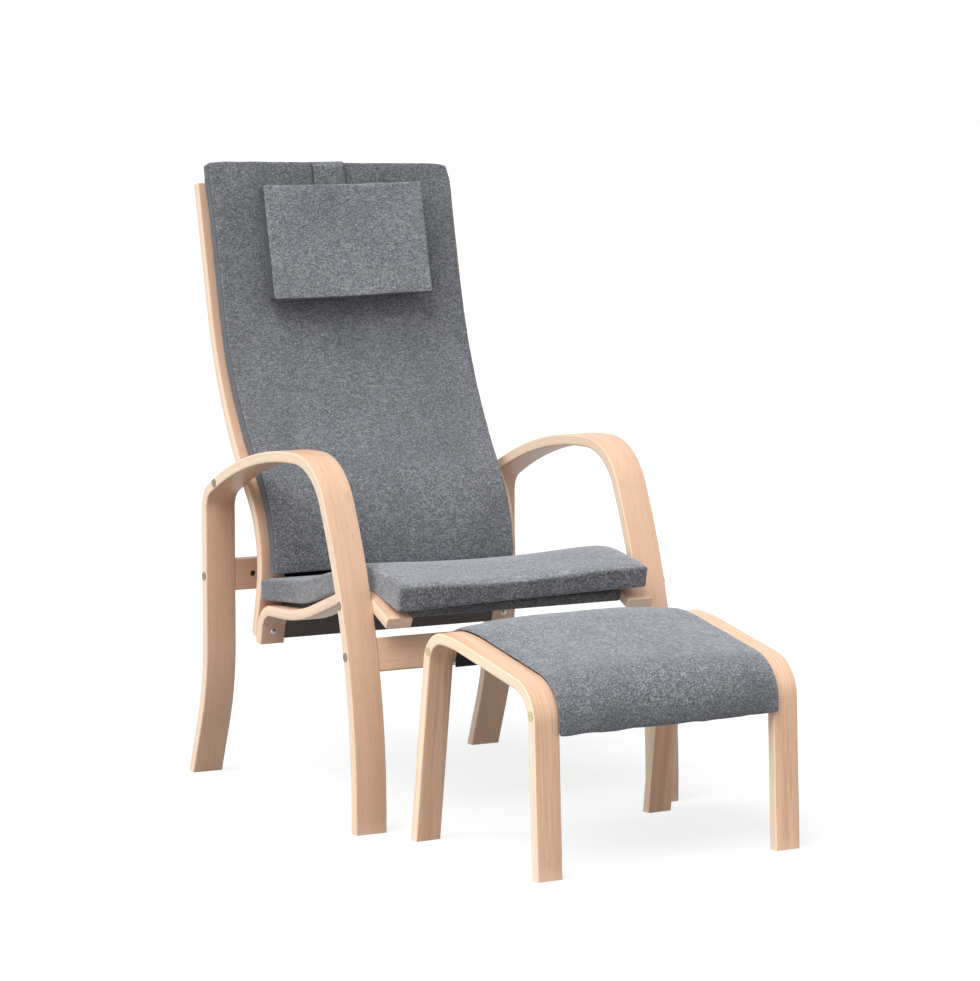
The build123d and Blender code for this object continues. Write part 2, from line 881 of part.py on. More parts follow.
# Bolts, cross dowels, sleeves and pins, with like pieces together
with BuildPart() as frame_bolts:
    for side in sides:
        for point in frame_bolt_points:
            add_connector_bolt(chair_frame, side, half_width, point)
save(frame_bolts.part, "frame_bolts")

with BuildPart() as cross_dowels:
    for side in sides:
        for _, point, heading in cross_rails:
            add_dowel(chair_frame, side, half_inside, point, heading, 0)
save(cross_dowels.part, "cross_dowels")

with BuildPart() as bolt_sleeves:
    for side in sides:
        sleeve_plane = side_plane(chair_frame, side * (half_inside - sleeve_setback))
        for point in (upright_bolt, rail_bolt):
            extrude(disc_face(sleeve_plane, point, sleeve_diameter), amount=-side * sleeve_length)
            bore = disc_face(sleeve_plane, point, bolt_shank + bolt_play)
            extrude(bore, amount=-side * sleeve_length, mode=Mode.SUBTRACT)
save(bolt_sleeves.part, "bolt_sleeves")

dome_radius = ((seat_bolt_head / 2) ** 2 + seat_bolt_dome**2) / (2 * seat_bolt_dome)
with BuildPart() as seat_bolts:
    for side in sides:
        face = seat_bolt_plane(side)
        extrude(disc_face(face, (0, 0), bolt_shank), amount=seat_bolt_length)
        section = Plane(origin=face.origin, x_dir=face.x_dir, z_dir=-face.y_dir)
        with BuildSketch(section) as dome:
            with BuildLine():
                Line((0, 0), (seat_bolt_head / 2, 0))
                RadiusArc((seat_bolt_head / 2, 0), (0, -seat_bolt_dome), dome_radius)
                Line((0, -seat_bolt_dome), (0, 0))
            make_face()
        revolve(dome.sketch, axis=Axis(face.origin, face.z_dir))
save(seat_bolts.part, "seat_bolts")


def make_pins(name, frame, half, points):
    """Plain pins, each half in a strip and half in a cross member."""
    with BuildPart() as pins:
        for side in sides:
            for point in points:
                section = disc_face(side_plane(frame, side * half), point, pin_diameter)
                extrude(section, amount=pin_length / 2, both=True)
    save(pins.part, name)


make_pins("seat_pins", chair_frame, half_between, seat_pin_points)
make_pins("back_pins", chair_frame, half_between, back_pin_points)

with BuildPart() as stool_bolts:
    for side in sides:
        for point in stool_bolt_points:
            add_connector_bolt(stool_frame, side, stool_half, point)
save(stool_bolts.part, "stool_bolts")

with BuildPart() as stool_dowels:
    for side in sides:
        for _, point, heading in stool_bars:
            add_dowel(stool_frame, side, stool_inside, point, heading, stool_bar_shift)
save(stool_dowels.part, "stool_dowels")

make_pins("stool_pins", stool_frame, stool_inside, stool_pin_points)
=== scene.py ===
"""Looks for a lounge chair and its footstool: bent laminated wood, heathered cushions and plated bolts.

Metres, +Z up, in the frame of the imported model. The chair faces -Y.
A bent piece or a cushion is first made flat: X across it, Y along it from zero, Z through it.
It is then laid along a course of straight runs and bends, drawn in a side view.
"""
from math import ceil, copysign, cos, exp, hypot, radians, sin, sqrt, tan
import bmesh
import bpy
from bpy.props import FloatProperty, FloatVectorProperty, PointerProperty
from mathutils import Matrix, Vector, noise


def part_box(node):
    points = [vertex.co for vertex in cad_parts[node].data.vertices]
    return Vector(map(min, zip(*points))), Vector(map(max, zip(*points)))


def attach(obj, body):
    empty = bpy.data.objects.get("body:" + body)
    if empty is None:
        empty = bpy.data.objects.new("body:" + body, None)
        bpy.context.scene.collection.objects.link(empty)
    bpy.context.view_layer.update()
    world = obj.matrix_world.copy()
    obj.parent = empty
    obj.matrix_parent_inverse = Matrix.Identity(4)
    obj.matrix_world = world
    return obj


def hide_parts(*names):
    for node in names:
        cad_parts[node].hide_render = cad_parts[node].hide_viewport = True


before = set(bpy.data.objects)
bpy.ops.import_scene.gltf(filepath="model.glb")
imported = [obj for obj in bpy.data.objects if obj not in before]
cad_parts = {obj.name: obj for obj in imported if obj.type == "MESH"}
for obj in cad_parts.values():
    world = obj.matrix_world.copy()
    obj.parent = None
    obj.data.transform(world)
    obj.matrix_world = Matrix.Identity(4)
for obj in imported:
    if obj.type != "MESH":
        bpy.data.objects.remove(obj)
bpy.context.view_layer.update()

bl_info = {
    "name": "Lounge chair looks",
    "version": (1, 0, 0),
    "blender": (4, 5, 0),
    "location": "View3D > Sidebar > Chair",
    "description": "Bent wood, cushions and fittings of a lounge chair with a footstool",
    "category": "Object",
}

MM = 0.001
# How far inside a bolt's face the painted shade of its socket starts, in metres.
SOCKET_RIM = 0.0005

# Chair frame sizes, in millimetres
arm_width = 55
arm_thickness = 18.5
strip_width = 45
strip_thickness = 18
arm_front_inset = 3.2
edge_round = 2.5
soft_gap = 0.4
tip_chamfer = 8
floor_overrun = 40
rail_leg_drop = 7
rear_panel_height = 65
rear_panel_thickness = 15
front_bar_setback = 50
front_bar_drop = 1
upright_straight = 225

# Footstool sizes and its place before the chair
stool_width = 486
stool_strip_width = 45
stool_thickness = 18.5
stool_gap = 429.2
stool_offset = 22.5
stool_yaw = 2.9
stool_front_lean = 2.5
stool_top_slope = 11.5
stool_front_straight = 239.7
stool_rear_turn = 82.2

# Cushion, pillow and strap sizes; a crown is how far the middle of a face stands out
pad_width = 464
pad_nose = 5
seat_pad_thickness = 34
seat_pad_crown = 3
back_pad_thickness = 32
back_pad_crown = 4
back_pad_offset = -4
back_pad_overhang = 20
pillow_width = 300
pillow_offset = -5
pillow_height = 197
pillow_thickness = 31
pillow_crown = 2.5
pillow_drop = 41
strap_width = 64
strap_thickness = 2
strap_offset = -12
strap_bend = 12
strap_front_run = 95
strap_rear_run = 45
strap_lift = 0.3

# Seat sling, its sleeve round the front bar, and the dark linings, one partly a painted shadow behind the
# cushions
sling_thickness = 2.5
sling_half_width = 199.6
sling_tail = 22
sling_tail_bend = 6
sling_front_run = 52
sleeve_reach = 21.65
sleeve_rise = 8.65
sleeve_corner = 4.15
sleeve_gap = 0.5
lining_thickness = 1
joining_shadow_cloth_start = (475.5, 281)
joining_shadow_cloth_height = 123

# Footstool pad: the heights of its two lower edges, and its form through the thickness
stool_front_z = 218
stool_rear_z = 283
stool_play = 1
stool_low = 7.1
stool_rim = 1.8
stool_round = 1.5
stool_rise = 13.4
stool_fullness = 4.5
stool_end_rise = 0.45
stool_end_run = 30
stool_wave = 2
stool_wave_run = 45
stool_side_run = 30
stool_side_rise = 3.6
stool_right_spill = 6.5
stool_left_spill = 3.5
stool_rear_spill = 5
stool_lining_depth = -13.6
stool_lining_inset = 0.6

# Covers: what they are cut wider and longer than their foam, the pressure that blows them up, the frames it
# works for, how far a point may move, and how much less of that sideways within a broad face
cover_gain = 3.5
end_gain = 3
cover_round = 4
cover_pressure = 4
cover_frames = 20
cover_cap = 9
pillow_cap = 7
pillow_cell = 5
broad_calm = 0.75
rim_width = 50

# Camera: its place before the chair's shift, in metres, and its tilt and turn, in radians
camera_place = (-3.2087, -5.7215, 1.3197)
camera_tilt = -0.118928
camera_turn = -0.503151


def ahead(point, heading, length):
    """The point a length further on along a heading."""
    angle = radians(heading)
    return point[0] + length * cos(angle), point[1] + length * sin(angle)


def beside(point, heading, shift):
    """The point a shift to the left of a heading."""
    return ahead(point, heading + 90, shift)


def run_on(point, heading, size, turn):
    """Where a straight run (turn 0) or a bend of this radius ends, and its heading there."""
    if turn == 0:
        return ahead(point, heading, size), heading
    radius = copysign(size, turn)
    centre = beside(point, heading, radius)
    return beside(centre, heading + turn, -radius), heading + turn


def run_length(size, turn):
    """The length of one run of a course."""
    return size * radians(abs(turn)) if turn else size


def span_of(course):
    """The length of a course."""
    return sum(run_length(*run) for run in course[2])


def course_end(course):
    """The last point of a course and its heading there."""
    point, heading, runs = course
    for size, turn in runs:
        point, heading = run_on(point, heading, size, turn)
    return point, heading


def along(course, length):
    """The point this far along a course and its heading there."""
    point, heading, runs = course
    for size, turn in runs:
        span = run_length(size, turn)
        if length <= span:
            if turn:
                return run_on(point, heading, size, turn * length / span)
            return run_on(point, heading, length, 0)
        point, heading = run_on(point, heading, size, turn)
        length -= span
    return ahead(point, heading, length), heading


def to_floor(course):
    """A course with a last straight run that goes on past the floor."""
    start, heading, runs = course
    point, last = course_end(course)
    return start, heading, (*runs, (floor_overrun - point[1] / sin(radians(last)), 0))


# Courses in the side view, in millimetres: a start, a heading and runs of (length, 0) or (radius, turn)
arm_course = to_floor((
    (arm_front_inset + arm_thickness / 2, 0),
    90,
    ((40, 0), (1093, -26), (111, -64), (691, -28), (43, -62), (228.5, 0), (412, 20.5)),
))
upright_course = ((710, 1005), 257, ((upright_straight, 0), (700, -27), (190, 53), (78, 0)))
upright_end, tail_heading = course_end(upright_course)
rail_heading = tail_heading - 180
rail_course = (
    ahead(beside(upright_end, rail_heading, strip_thickness), tail_heading, rail_leg_drop),
    rail_heading,
    ((29, 0), (40, 75.3), (44, 0), (408, -17.2), (122, 0), (132, 42.7), (58, 0)),
)
seat_pad_course = ((455, 333.4), 174, ((100.7, 0), (297, -8.7), (157, 0), (174, 26.3), (96, 0)))
back_pad_course = (
    ahead(upright_course[0], upright_course[1], -back_pad_overhang),
    upright_course[1],
    ((upright_straight + back_pad_overhang, 0), upright_course[2][1], (190, 40), (8, 0)),
)
stool_course = to_floor((
    (stool_thickness / 2, 0),
    90 - stool_front_lean,
    (
        (stool_front_straight, 0),
        (59, stool_front_lean + stool_top_slope - 90),
        (163.7, 0),
        (280, -stool_top_slope),
        (44.3, -stool_rear_turn),
    ),
))

# Where each cover departs from its even form. A row holds a place across and along it, the reach each way,
# a move each way, and in some how far the crown's face and the base sink.
pad_side = pad_width / 2
pillow_side = pillow_width / 2
seat_length = span_of(seat_pad_course)
back_length = span_of(back_pad_course)
seat_pulls = (
    ((-pad_side, 0), (70, 90), (-15, -12)),
    ((-pad_side, 110), (36, 140), (0, 0), (0.5, 5)),
    ((-pad_side, seat_length), (200, 150), (0, 3), (-5, 3.5)),
    ((pad_side, seat_length), (330, 220), (-2, -2), (-7, -5)),
    ((-20, 330), (230, 190), (0, 0), (6.5, 0)),
    ((110, 360), (140, 130), (0, 0), (3, 0)),
)
back_pulls = (
    ((-pad_side, 0), (420, 70), (-3, -11)),
    ((0, 0), (220, 60), (0, -1.5)),
    ((130, 0), (160, 60), (0, -1)),
    ((pad_side, 0), (60, 60), (-3, 3)),
    ((pad_side, 0), (34, 34), (-4, 3)),
    ((-pad_side, 0), (24, 24), (4, 4)),
    ((pad_side, 150), (80, 190), (-2.5, 0)),
    ((-pad_side, 560), (90, 240), (3.5, 0)),
    ((pad_side, back_length), (90, 330), (-8, 0)),
)
pillow_pulls = (
    ((-pillow_side, pillow_height), (200, 60), (0, -3)),
    ((pillow_side, pillow_height), (260, 90), (0, -7)),
)

# Where the chair and the footstool stand in the frame
to_metres = Matrix.Diagonal((MM, MM, MM, 1))
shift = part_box("arm_frame_left")[0].y / MM - arm_front_inset
chair_place = to_metres @ Matrix.Translation((0, shift, 0))
stool_place = (
    to_metres
    @ Matrix.Translation((stool_offset, shift - stool_gap, 0))
    @ Matrix.Rotation(radians(stool_yaw), 4, "Z")
)


class ChairWood(bpy.types.PropertyGroup):
    """Colours of the laminated wood."""

    face: FloatVectorProperty(
        name="Face", description="Broad faces of a strip",
        subtype="COLOR", default=(0.78, 0.515, 0.355),
    )
    streak: FloatVectorProperty(
        name="Streak", description="Darker grain on the broad faces",
        subtype="COLOR", default=(0.52, 0.29, 0.17),
    )
    edge: FloatVectorProperty(
        name="Edge", description="Narrow faces, where the layers show",
        subtype="COLOR", default=(0.93, 0.75, 0.57),
    )
    layer: FloatProperty(
        name="Layer", description="Thickness of one layer of wood", unit="LENGTH", default=0.0015
    )


class ChairCloth(bpy.types.PropertyGroup):
    """Colours and form of the cushions' cloth."""

    dark: FloatVectorProperty(
        name="Dark", description="Dark yarn", subtype="COLOR", default=(0.034, 0.037, 0.044)
    )
    middle: FloatVectorProperty(
        name="Middle", description="Grey yarn", subtype="COLOR", default=(0.178, 0.187, 0.207)
    )
    fleck: FloatVectorProperty(
        name="Fleck", description="Pale flecks", subtype="COLOR", default=(0.66, 0.67, 0.70)
    )
    grid: FloatProperty(
        name="Grid", description="Size of a cushion's mesh cells", unit="LENGTH", default=0.0065
    )


class ChairStage(bpy.types.PropertyGroup):
    """Light level and camera lens."""

    sky: FloatProperty(name="Sky", description="Strength of the even light", default=0.38)
    key: FloatProperty(name="Key", description="Strength of the soft light from the upper left", default=2.75)
    side: FloatProperty(name="Side", description="Strength of the low light from the left", default=0.7)
    fill: FloatProperty(name="Fill", description="Strength of the soft light from the right", default=0.5)
    lens: FloatProperty(name="Lens", description="Focal length of the camera, in millimetres", default=151.0)


class Graph:
    """A material's nodes, added one by one."""

    def __init__(self, name):
        self.material = bpy.data.materials.new(name)
        self.material.use_nodes = True
        self.tree = self.material.node_tree
        self.shader = self.tree.nodes["Principled BSDF"]

    def add(self, kind, *inputs, out=0, **settings):
        """Add a node, set its properties and its inputs, and return one of its outputs."""
        node = self.tree.nodes.new("ShaderNode" + kind)
        for key, value in settings.items():
            setattr(node, key, value)
        for index, value in enumerate(inputs):
            self.feed(node.inputs[index], value)
        return node.outputs[out]

    def feed(self, socket, value):
        """Link an output to an input, or set the input's value."""
        if value is None:
            return
        if isinstance(value, bpy.types.NodeSocket):
            self.tree.links.new(value, socket)
        else:
            socket.default_value = value

    def math(self, operation, a, b=None):
        """A sum, product or other calculation on numbers."""
        return self.add("Math", a, b, operation=operation)

    def noted(self, name):
        """What keep_flat noted on each point."""
        return self.add("Attribute", attribute_name=name, out=1)

    def part(self, vector, index):
        """X, Y or Z of a vector."""
        return self.add("SeparateXYZ", vector, out=index)

    def times(self, a, b):
        """Two numbers multiplied."""
        return self.math("MULTIPLY", a, b)

    def scaled(self, vector, scale):
        """A vector with each part multiplied."""
        return self.add("VectorMath", vector, scale, operation="MULTIPLY")

    def noise(self, vector, scale, detail=3, roughness=0.5):
        """A soft random value between 0 and 1, on a vector with each part multiplied."""
        return self.add("TexNoise", self.scaled(vector, scale), None, 1.0, detail, roughness)

    def between(self, value, low, high):
        """A value spread from a range onto 0 to 1."""
        return self.add("MapRange", value, low, high, 0.0, 1.0)

    def mix(self, factor, a, b, blend="MIX"):
        """Two colours mixed."""
        node = self.tree.nodes.new("ShaderNodeMix")
        node.data_type = "RGBA"
        node.blend_type = blend
        self.feed(node.inputs["Factor"], factor)
        self.feed(node.inputs[6], a)
        self.feed(node.inputs[7], b)
        return node.outputs[2]

    def bump(self, height, strength, distance):
        """A bumped normal."""
        node = self.tree.nodes.new("ShaderNodeBump")
        node.inputs["Strength"].default_value = strength
        node.inputs["Distance"].default_value = distance
        self.feed(node.inputs["Height"], height)
        return node.outputs[0]

    def finish(self, **sockets):
        """Set the shader's inputs by name."""
        for name, value in sockets.items():
            self.feed(self.shader.inputs[name.replace("_", " ")], value)
        return self.material


def seen_rays(tree):
    """Nodes that give 1 for rays from the camera or off a glossy face, and 0 for others."""
    rays = tree.nodes.new("ShaderNodeLightPath")
    seen = tree.nodes.new("ShaderNodeMath")
    seen.operation = "MAXIMUM"
    tree.links.new(rays.outputs["Is Camera Ray"], seen.inputs[0])
    tree.links.new(rays.outputs["Is Glossy Ray"], seen.inputs[1])
    return seen.outputs[0]


def rgba(colour, level=1.0):
    """A colour with full alpha, made lighter or darker."""
    return (*(channel * level for channel in colour), 1.0)


def grain(graph, flat, looks, contrast=1.0):
    """Wood grain that runs along Y of a vector: its colour, and its height for the bump."""
    bend = graph.noise(flat, (9, 1.3, 9), 2)
    bent = graph.add("VectorMath", flat, graph.scaled(bend, (0.010, 0, 0.010)), operation="ADD")
    bands = graph.noise(bent, (46, 1.6, 46), 4, 0.6)
    fibres = graph.noise(bent, (420, 7, 420), 3, 0.65)
    flecks = graph.noise(flat, (900, 60, 900), 1, 0.4)
    cloud = graph.noise(flat, (5, 2.2, 5), 2)
    band_mask = graph.times(graph.between(bands, 0.42, 0.72), 0.55 * contrast)
    tone = graph.mix(band_mask, rgba(looks.face, 1.04), rgba(looks.streak, 1.15))
    tone = graph.mix(graph.between(cloud, 0.30, 0.75), tone, rgba(looks.face, 0.93))
    fibre_mask = graph.times(graph.between(fibres, 0.50, 0.72), 0.34 * contrast)
    tone = graph.mix(fibre_mask, tone, rgba(looks.streak))
    fleck_mask = graph.times(graph.between(flecks, 0.62, 0.74), 0.35)
    tone = graph.mix(fleck_mask, tone, rgba(looks.streak, 0.72))
    return tone, fibres


def laminated_wood(looks, name, contrast, level=1.0):
    """Bent strips: grain along the broad faces and thin layers on the narrow ones."""
    graph = Graph(name)
    flat = graph.noted("flat")
    facing = graph.noted("facing")
    tone, fibres = grain(graph, flat, looks, contrast)
    depth = graph.part(flat, 2)
    layers = graph.math("DIVIDE", depth, looks.layer)
    sheet = graph.math("FLOOR", layers)
    wander = graph.noise(flat, (0, 3, 0), 2)
    sheet_tone = graph.add("TexWhiteNoise", None, sheet, noise_dimensions="1D")
    within = graph.math("FRACT", layers)
    glue = graph.math("LESS_THAN", within, 0.13)
    edge = graph.mix(graph.times(sheet_tone, 0.55), rgba(looks.edge, 1.05), rgba(looks.face, 1.02))
    edge = graph.mix(graph.times(graph.between(wander, 0.35, 0.8), 0.25), edge, rgba(looks.face))
    edge = graph.mix(graph.times(glue, 0.42), edge, rgba(looks.streak, 0.85))
    streaks = graph.noise(flat, (500, 12, 700), 2)
    streak_mask = graph.times(graph.between(streaks, 0.5, 0.75), 0.25)
    edge = graph.mix(streak_mask, edge, rgba(looks.streak, 1.1))
    through = graph.part(facing, 2)
    broad = graph.between(graph.math("ABSOLUTE", through), 0.55, 0.85)
    colour = graph.mix(broad, edge, tone)
    colour = graph.mix(1.0, colour, (level, level, level, 1), "MULTIPLY")
    height = graph.math("SUBTRACT", fibres, graph.times(glue, 0.35))
    rough = graph.add("MapRange", fibres, 0.3, 0.7, 0.40, 0.52)
    return graph.finish(
        Base_Color=colour,
        Roughness=rough,
        Normal=graph.bump(height, 0.22, 0.0003),
        Coat_Weight=0.12,
        Coat_Roughness=0.35,
    )


def board_wood(looks):
    """Straight boards that lie across the chair: grain along X, read from their place."""
    graph = Graph("board_wood")
    place = graph.add("TexCoord", out=3)
    x = graph.part(place, 0)
    y = graph.part(place, 1)
    z = graph.part(place, 2)
    turned = graph.add("CombineXYZ", z, x, y)
    tone, fibres = grain(graph, turned, looks)
    return graph.finish(
        Base_Color=tone,
        Roughness=graph.add("MapRange", fibres, 0.3, 0.7, 0.42, 0.55),
        Normal=graph.bump(fibres, 0.22, 0.0003),
        Coat_Weight=0.10,
        Coat_Roughness=0.35,
    )


def dark_board():
    """Smooth dark board."""
    graph = Graph("dark_board")
    place = graph.add("TexCoord", out=3)
    mottle = graph.noise(place, (6, 40, 40), 3)
    colour = graph.mix(graph.between(mottle, 0.3, 0.7), (0.060, 0.046, 0.040, 1), (0.082, 0.064, 0.056, 1))
    return graph.finish(Base_Color=colour, Roughness=0.6, Normal=graph.bump(mottle, 0.1, 0.0004))


def heather_cloth(
    looks, name, level, side_painted_shade=0.8, start_painted_shade=1.0,
    seam_highlight=0.06, weave=(260, 480, 300), pales=0.75, sheen=0.6, hem=None,
):
    """Brushed heathered cloth: dark and grey yarns with pale flecks, and a painted highlight along its seams.

    Levels set how light the whole is, where a lighter copy stands for painted light on a cover's top, and how
    dark its narrow sides and its start are, as painted shade. The weave is the scale of the broad faces'
    flecks.
    A hem is a strip's middle and half width, in metres; the strip gets a painted shadow along its edges
    there.
    """
    graph = Graph(name)
    flat = graph.noted("flat")
    facing = graph.noted("facing")
    yarn = graph.noise(flat, (760, 900, 800), 2, 0.6)
    through = graph.math("ABSOLUTE", graph.part(facing, 2))
    fine = graph.noise(flat, (260, 480, 300), 4, 0.75)
    coarse = graph.noise(flat, weave, 4, 0.75)
    down = graph.part(flat, 1)
    broad = graph.times(graph.between(through, 0.55, 0.85), graph.between(down, 0.06, 0.13))
    brushed = graph.add("Math", broad, graph.math("SUBTRACT", coarse, fine), fine, operation="MULTIPLY_ADD")
    clumps = graph.noise(flat, (60, 110, 90), 4, 0.65)
    wide = graph.noise(flat, (10, 6, 10), 4, 0.6)
    colour = graph.mix(graph.between(yarn, 0.34, 0.62), rgba(looks.dark, level), rgba(looks.middle, level))
    pale = graph.times(graph.between(brushed, 0.45, 0.68), graph.between(yarn, 0.30, 0.62))
    colour = graph.mix(graph.times(pale, pales), colour, rgba(looks.fleck, level))
    clump_mask = graph.times(graph.between(clumps, 0.48, 0.74), 0.22)
    colour = graph.mix(clump_mask, colour, rgba(looks.fleck, 0.8 * level))
    wide_mask = graph.times(graph.between(wide, 0.40, 0.72), 0.30)
    colour = graph.mix(wide_mask, colour, rgba(looks.dark, 1.5 * level))
    # Painted shade: the narrow sides of a cover are darker than its broad faces.
    side = graph.add("MapRange", through, 0.35, 0.75, side_painted_shade, 1.0)
    # Painted shadow: a strip is darker along its hem edges, as a dark line beside it.
    if hem:
        middle, half_width = hem
        off = graph.math("SUBTRACT", graph.part(flat, 0), middle)
        off = graph.math("ABSOLUTE", off)
        hem_painted_shadow = graph.add("MapRange", off, half_width - 0.003, half_width - 0.001, 1.0, 0.4)
        side = graph.times(side, hem_painted_shadow)
    # Painted shade: the start of a cover, the footstool's front drop, is darker.
    side = graph.times(side, graph.add("MapRange", down, 0.03, 0.09, start_painted_shade, 1.0))
    colour = graph.mix(1.0, colour, graph.add("CombineXYZ", side, side, side), "MULTIPLY")
    # Painted highlight: paler along the rounded seams, where the broad faces meet the sides.
    edge = graph.math("ABSOLUTE", graph.math("SUBTRACT", through, 0.78))
    seam_highlight_mask = graph.add("MapRange", edge, 0.0, 0.2, seam_highlight, 0.0)
    colour = graph.mix(seam_highlight_mask, colour, rgba(looks.fleck, 1.1 * level))
    height = graph.add("Math", yarn, 0.6, graph.times(brushed, 0.6), operation="MULTIPLY_ADD")
    return graph.finish(
        Base_Color=colour,
        Roughness=0.92,
        Normal=graph.bump(height, 0.5, 0.0008),
        Sheen_Weight=sheen,
        Sheen_Roughness=0.45,
        Sheen_Tint=(0.72, 0.75, 0.82, 1),
        Specular_IOR_Level=0.15,
    )


def dark_lining():
    """Thin black lining cloth."""
    graph = Graph("dark_lining")
    flat = graph.noted("flat")
    weave = graph.noise(flat, (700, 700, 700), 2)
    colour = graph.mix(graph.between(weave, 0.35, 0.65), (0.012, 0.012, 0.013, 1), (0.026, 0.026, 0.028, 1))
    return graph.finish(Base_Color=colour, Roughness=0.9, Normal=graph.bump(weave, 0.2, 0.0003))


def plated_metal(name, colour, roughness, start=(0, 0, 0), along_axis=(1, 0, 0), socket_shade_from=0):
    """Plated steel with a little tarnish, and painted shade in a bolt's socket, nearer the middle than its
    face.
    """
    graph = Graph(name)
    place = graph.add("TexCoord", out=3)
    spots = graph.noise(place, (420, 420, 420), 3)
    tone = graph.mix(graph.between(spots, 0.35, 0.75), rgba(colour, 1.08), rgba(colour, 0.72))
    metallic = 1.0
    # Painted shade: the socket of a bolt, deeper than its face, is near black and not metallic.
    if socket_shade_from:
        offset = graph.add("VectorMath", place, tuple(start), operation="SUBTRACT")
        across = graph.add("VectorMath", offset, tuple(along_axis), operation="DOT_PRODUCT", out=1)
        socket_shade = graph.math("LESS_THAN", graph.math("ABSOLUTE", across), socket_shade_from)
        tone = graph.mix(socket_shade, tone, (0.015, 0.013, 0.012, 1))
        metallic = graph.math("SUBTRACT", 1.0, socket_shade)
    rough = graph.add("MapRange", spots, 0.3, 0.7, roughness, roughness + 0.16)
    normal = graph.bump(spots, 0.08, 0.0002)
    return graph.finish(Base_Color=tone, Metallic=metallic, Roughness=rough, Normal=normal)


def paint(node, material):
    """Give a node of the frame its material."""
    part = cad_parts[node]
    for held in part.material_slots:
        held.material = material
    if not part.material_slots:
        part.data.materials.append(material)


def flat_box(low, high):
    """A plain box between two corners, as a new bmesh."""
    mesh = bmesh.new()
    low, high = Vector(low), Vector(high)
    size = Matrix.Diagonal((*(high - low), 1))
    bmesh.ops.create_cube(mesh, size=1, matrix=Matrix.Translation((low + high) / 2) @ size)
    return mesh


def keep_flat(mesh):
    """Note where each point of a flat piece lies and faces, in metres, for the materials."""
    mesh.normal_update()
    flat = mesh.verts.layers.float_vector.new("flat")
    facing = mesh.verts.layers.float_vector.new("facing")
    for vert in mesh.verts:
        vert[flat] = vert.co * MM
        vert[facing] = vert.normal


def lay(mesh, course, place):
    """Lay a flat piece along a course and put it in its place."""
    for vert in mesh.verts:
        point, heading = along(course, vert.co.y)
        side, up = beside(point, heading, vert.co.z)
        vert.co = place @ Vector((vert.co.x, side, up))


def add_object(name, data):
    """Put data into the scene as an object."""
    made = bpy.data.objects.new(name, data)
    bpy.context.scene.collection.objects.link(made)
    return made


def new_piece(name, mesh, material, body, slot, *nodes):
    """Make a finished mesh a piece that rides on a body and stands for some nodes."""
    data = bpy.data.meshes.new(name)
    bmesh.ops.recalc_face_normals(mesh, faces=mesh.faces)
    if mesh.calc_volume(signed=True) < 0:
        bmesh.ops.reverse_faces(mesh, faces=mesh.faces)
    mesh.to_mesh(data)
    mesh.free()
    data.materials.append(material)
    piece = add_object(name, data)
    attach(piece, body)
    if nodes:
        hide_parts(*nodes)
    return piece


def cut(mesh, point, normal, drop=False):
    """Cut a mesh along a plane, and drop what lies on the normal's side of it or keep both."""
    everything = [*mesh.verts, *mesh.edges, *mesh.faces]
    return bmesh.ops.bisect_plane(
        mesh, geom=everything, plane_co=point, plane_no=normal, clear_outer=drop
    )["geom_cut"]


def cut_across(mesh, stations):
    """Cut a flat piece across at these distances along it."""
    for station in stations:
        cut(mesh, (0, station, 0), (0, 1, 0))


def bevel(mesh, edges, offset, segments):
    """Bevel some edges of a mesh."""
    bmesh.ops.bevel(
        mesh, geom=edges, offset=offset, segments=segments, profile=0.5, affect="EDGES", material=-1
    )


def bend_stations(course, step=3.0, longest=60.0):
    """Distances along a course at which a strip is cut: close together in bends."""
    stations = []
    done = 0
    for size, turn in course[2]:
        span = run_length(size, turn)
        count = max(1, ceil(abs(turn) / step), ceil(span / longest))
        stations += [done + span * i / count for i in range(count + 1)]
        done += span
    return sorted(set(round(s, 4) for s in stations[1:-1]))


def bent_strip(name, course, low_x, high_x, half, place, material, body, node, tip=0):
    """A bent strip of laminated wood, with rounded long edges."""
    length = span_of(course)
    mesh = flat_box((low_x, 0, -half), (high_x, length, half))
    if tip:
        corner = [e for e in mesh.edges if all(v.co.y > length / 2 and v.co.z > 0 for v in e.verts)]
        bevel(mesh, corner, tip, 1)
    runs = [e for e in mesh.edges if abs(e.verts[0].co.y - e.verts[1].co.y) > length / 2]
    bevel(mesh, runs, edge_round, 4)
    cut_across(mesh, bend_stations(course))
    keep_flat(mesh)
    lay(mesh, course, place)
    rim = [e for e in cut(mesh, (0, 0, 0), (0, 0, -1), True) if isinstance(e, bmesh.types.BMEdge)]
    if rim:
        bmesh.ops.holes_fill(mesh, edges=rim)
    piece = new_piece(name, mesh, material, body, "wood", node)
    shade(piece)
    return piece


def shade(piece, angle=35):
    """Shade a piece smooth, with edges sharper than an angle kept crisp."""
    piece.data.shade_smooth()
    piece.data.set_sharp_from_angle(angle=radians(angle))


